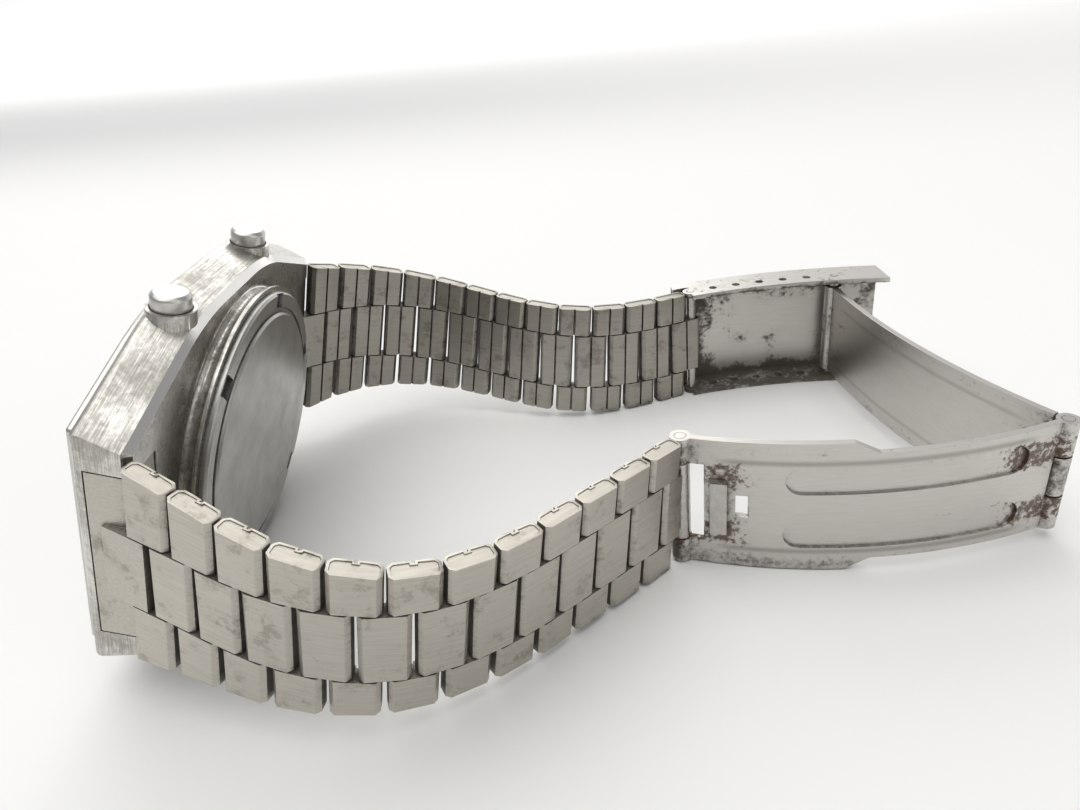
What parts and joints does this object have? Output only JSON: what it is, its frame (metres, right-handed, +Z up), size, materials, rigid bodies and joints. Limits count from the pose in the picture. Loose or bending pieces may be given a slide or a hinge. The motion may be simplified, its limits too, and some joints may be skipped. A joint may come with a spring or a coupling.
{
  "type": "digital wristwatch",
  "caption": "Digital wristwatch in a slanted steel case, standing on its side, with a tapered folded-link bracelet and an open folding clasp with an adjustable cover.",
  "frame": {"origin": "centre of the footprint of the standing watch, on the surface it stands on", "axes": "+Z up; +X from the case's dial side towards the open clasp; +Y from the bracelet half that hangs at 6 o'clock to the half at 12 o'clock"},
  "size_m": [0.1022, 0.0659, 0.0383],
  "materials": {
    "case_steel": "brushed",
    "back_steel": "satin",
    "bracelet_steel": "brushed",
    "clasp_steel": "satin",
    "spring_steel": "satin",
    "pusher_chrome": "polished",
    "seal_rubber": "matt",
    "crystal_glass": "gloss",
    "black_plastic": "matt",
    "lcd_plastic": "gloss",
    "board_plastic": "satin"
  },
  "bodies": {
    "case": {"case_body": "case_steel", "bezel": "case_steel", "crystal": "crystal_glass", "crystal_gasket": "seal_rubber", "dial_mask": "black_plastic", "lcd_panel": "lcd_plastic", "zebra_strip": "seal_rubber", "module_frame": "black_plastic", "circuit_board": "board_plastic", "battery": "spring_steel", "battery_strap": "spring_steel", "back_gasket": "seal_rubber", "case_back": "back_steel", "pusher_spring_lower": "spring_steel", "pusher_spring_upper": "spring_steel", "pusher_seal_lower": "seal_rubber", "pusher_seal_upper": "seal_rubber", "end_link_near": "bracelet_steel", "end_link_far": "bracelet_steel", "end_link_bar_near": "spring_steel", "end_link_bar_far": "spring_steel"},
    "pusher_lower": {"pusher_lower": "pusher_chrome", "pusher_clip_lower": "spring_steel"},
    "pusher_upper": {"pusher_upper": "pusher_chrome", "pusher_clip_upper": "spring_steel"},
    "near_01": {"near_link_01": "bracelet_steel"},
    "near_02": {"near_link_02": "bracelet_steel"},
    "near_03": {"near_link_03": "bracelet_steel"},
    "near_04": {"near_link_04": "bracelet_steel"},
    "near_05": {"near_link_05": "bracelet_steel"},
    "near_06": {"near_link_06": "bracelet_steel"},
    "near_07": {"near_link_07": "bracelet_steel"},
    "near_08": {"near_link_08": "bracelet_steel"},
    "near_09": {"near_link_09": "bracelet_steel"},
    "near_10": {"near_link_10": "bracelet_steel"},
    "near_11": {"near_link_11": "bracelet_steel"},
    "near_12": {"near_link_12": "bracelet_steel"},
    "far_01": {"far_link_01": "bracelet_steel"},
    "far_02": {"far_link_02": "bracelet_steel"},
    "far_03": {"far_link_03": "bracelet_steel"},
    "far_04": {"far_link_04": "bracelet_steel"},
    "far_05": {"far_link_05": "bracelet_steel"},
    "far_06": {"far_link_06": "bracelet_steel"},
    "far_07": {"far_link_07": "bracelet_steel"},
    "far_08": {"far_link_08": "bracelet_steel"},
    "far_09": {"far_link_09": "bracelet_steel"},
    "far_10": {"far_link_10": "bracelet_steel"},
    "far_11": {"far_link_11": "bracelet_steel"},
    "far_12": {"far_link_12": "bracelet_steel"},
    "cover": {"clasp_cover": "clasp_steel", "adjust_bar": "spring_steel", "hinge_bar": "spring_steel"},
    "blade_a": {"blade_a": "clasp_steel"},
    "blade_b": {"blade_b": "clasp_steel", "mid_hinge_pin": "spring_steel", "end_pin": "spring_steel", "end_sleeve": "bracelet_steel", "latch_spring": "spring_steel"}
  },
  "joints": [
    {"name": "pusher_lower_press", "type": "slide", "parent": "case", "child": "pusher_lower", "axis": [-0.2802, 0.0344, -0.9593], "range_m": [0, 0.0008], "stiffness_N_per_m": 600, "springref_m": -0.0004, "deforming": ["pusher_spring_lower"]},
    {"name": "pusher_upper_press", "type": "slide", "parent": "case", "child": "pusher_upper", "axis": [-0.2802, 0.0344, -0.9593], "range_m": [0, 0.0008], "stiffness_N_per_m": 600, "springref_m": -0.0004, "deforming": ["pusher_spring_upper"]},
    {"name": "near_01_pin", "type": "hinge", "parent": "case", "child": "near_01", "pos_m": [-0.04114, -0.02439, 0.01713], "axis": [0.2802, -0.0344, 0.9593], "range_deg": [-8, 0]},
    {"name": "near_02_pin", "type": "hinge", "parent": "near_01", "child": "near_02", "pos_m": [-0.03679, -0.02649, 0.01582], "axis": [0.2631, -0.0428, 0.9638], "range_deg": [-8, 0]},
    {"name": "near_03_pin", "type": "hinge", "parent": "near_02", "child": "near_03", "pos_m": [-0.03246, -0.02864, 0.01457], "axis": [0.2458, -0.0513, 0.968], "range_deg": [-8, 0]},
    {"name": "near_04_pin", "type": "hinge", "parent": "near_03", "child": "near_04", "pos_m": [-0.02794, -0.03041, 0.01337], "axis": [0.2284, -0.0599, 0.9717], "range_deg": [-8, 0]},
    {"name": "near_05_pin", "type": "hinge", "parent": "near_04", "child": "near_05", "pos_m": [-0.02316, -0.03129, 0.01223], "axis": [0.211, -0.0685, 0.9751], "range_deg": [-8, 0]},
    {"name": "near_06_pin", "type": "hinge", "parent": "near_05", "child": "near_06", "pos_m": [-0.01828, -0.03104, 0.01124], "axis": [0.1935, -0.0771, 0.9781], "range_deg": [-8, 0]},
    {"name": "near_07_pin", "type": "hinge", "parent": "near_06", "child": "near_07", "pos_m": [-0.01359, -0.02951, 0.01049], "axis": [0.176, -0.0858, 0.9806], "range_deg": [-8, 0]},
    {"name": "near_08_pin", "type": "hinge", "parent": "near_07", "child": "near_08", "pos_m": [-0.00924, -0.02712, 0.00994], "axis": [0.1584, -0.0732, 0.9847], "range_deg": [-8, 0]},
    {"name": "near_09_pin", "type": "hinge", "parent": "near_08", "child": "near_09", "pos_m": [-0.0052, -0.0242, 0.00952], "axis": [0.1408, -0.0604, 0.9882], "range_deg": [-8, 0]},
    {"name": "near_10_pin", "type": "hinge", "parent": "near_09", "child": "near_10", "pos_m": [-0.00135, -0.02103, 0.00918], "axis": [0.1231, -0.0476, 0.9913], "range_deg": [-8, 0]},
    {"name": "near_11_pin", "type": "hinge", "parent": "near_10", "child": "near_11", "pos_m": [0.00251, -0.01786, 0.00887], "axis": [0.1053, -0.0347, 0.9938], "range_deg": [-8, 0]},
    {"name": "near_12_pin", "type": "hinge", "parent": "near_11", "child": "near_12", "pos_m": [0.00638, -0.01471, 0.00858], "axis": [0.0876, -0.0217, 0.9959], "range_deg": [-8, 0]},
    {"name": "far_01_pin", "type": "hinge", "parent": "case", "child": "far_01", "pos_m": [-0.03507, 0.02504, 0.01713], "axis": [-0.2802, 0.0344, -0.9593], "range_deg": [-8, 0]},
    {"name": "far_02_pin", "type": "hinge", "parent": "far_01", "child": "far_02", "pos_m": [-0.03146, 0.02836, 0.01621], "axis": [-0.2709, 0.0316, -0.9621], "range_deg": [-8, 0]},
    {"name": "far_03_pin", "type": "hinge", "parent": "far_02", "child": "far_03", "pos_m": [-0.02719, 0.0307, 0.01512], "axis": [-0.2563, 0.0289, -0.9662], "range_deg": [-8, 0]},
    {"name": "far_04_pin", "type": "hinge", "parent": "far_03", "child": "far_04", "pos_m": [-0.02245, 0.03171, 0.01394], "axis": [-0.2386, 0.0261, -0.9708], "range_deg": [-8, 0]},
    {"name": "far_05_pin", "type": "hinge", "parent": "far_04", "child": "far_05", "pos_m": [-0.01761, 0.0313, 0.01279], "axis": [-0.2185, 0.0233, -0.9756], "range_deg": [-8, 0]},
    {"name": "far_06_pin", "type": "hinge", "parent": "far_05", "child": "far_06", "pos_m": [-0.01295, 0.02982, 0.01177], "axis": [-0.1964, 0.0205, -0.9803], "range_deg": [-8, 0]},
    {"name": "far_07_pin", "type": "hinge", "parent": "far_06", "child": "far_07", "pos_m": [-0.00847, 0.02779, 0.01089], "axis": [-0.1725, 0.0177, -0.9848], "range_deg": [-8, 0]},
    {"name": "far_08_pin", "type": "hinge", "parent": "far_07", "child": "far_08", "pos_m": [-0.00401, 0.02567, 0.01013], "axis": [-0.147, 0.0148, -0.989], "range_deg": [-8, 0]},
    {"name": "far_09_pin", "type": "hinge", "parent": "far_08", "child": "far_09", "pos_m": [0.00069, 0.02411, 0.00948], "axis": [-0.1201, 0.0119, -0.9927], "range_deg": [-8, 0]},
    {"name": "far_10_pin", "type": "hinge", "parent": "far_09", "child": "far_10", "pos_m": [0.00563, 0.0237, 0.00895], "axis": [-0.0918, 0.0089, -0.9957], "range_deg": [-8, 0]},
    {"name": "far_11_pin", "type": "hinge", "parent": "far_10", "child": "far_11", "pos_m": [0.01056, 0.02445, 0.00857], "axis": [-0.0623, 0.006, -0.998], "range_deg": [-8, 0]},
    {"name": "far_12_pin", "type": "hinge", "parent": "far_11", "child": "far_12", "pos_m": [0.01538, 0.02576, 0.00835], "axis": [-0.0317, 0.003, -0.9995], "range_deg": [-8, 0]},
    {"name": "cover_pivot", "type": "hinge", "parent": "far_12", "child": "cover", "pos_m": [0.02014, 0.02727, 0.00828], "axis": [0, 0, -1], "range_deg": [-20, 0]},
    {"name": "clasp_fold", "type": "hinge", "parent": "cover", "child": "blade_a", "pos_m": [0.04124, 0.0269, 0.00828], "axis": [0, 0, 1], "range_deg": [-20, 20]},
    {"name": "mid_hinge", "type": "hinge", "parent": "blade_a", "child": "blade_b", "pos_m": [0.04999, -0.01459, 0.00828], "axis": [0, 0, 1], "range_deg": [-20, 0]}
  ]
}
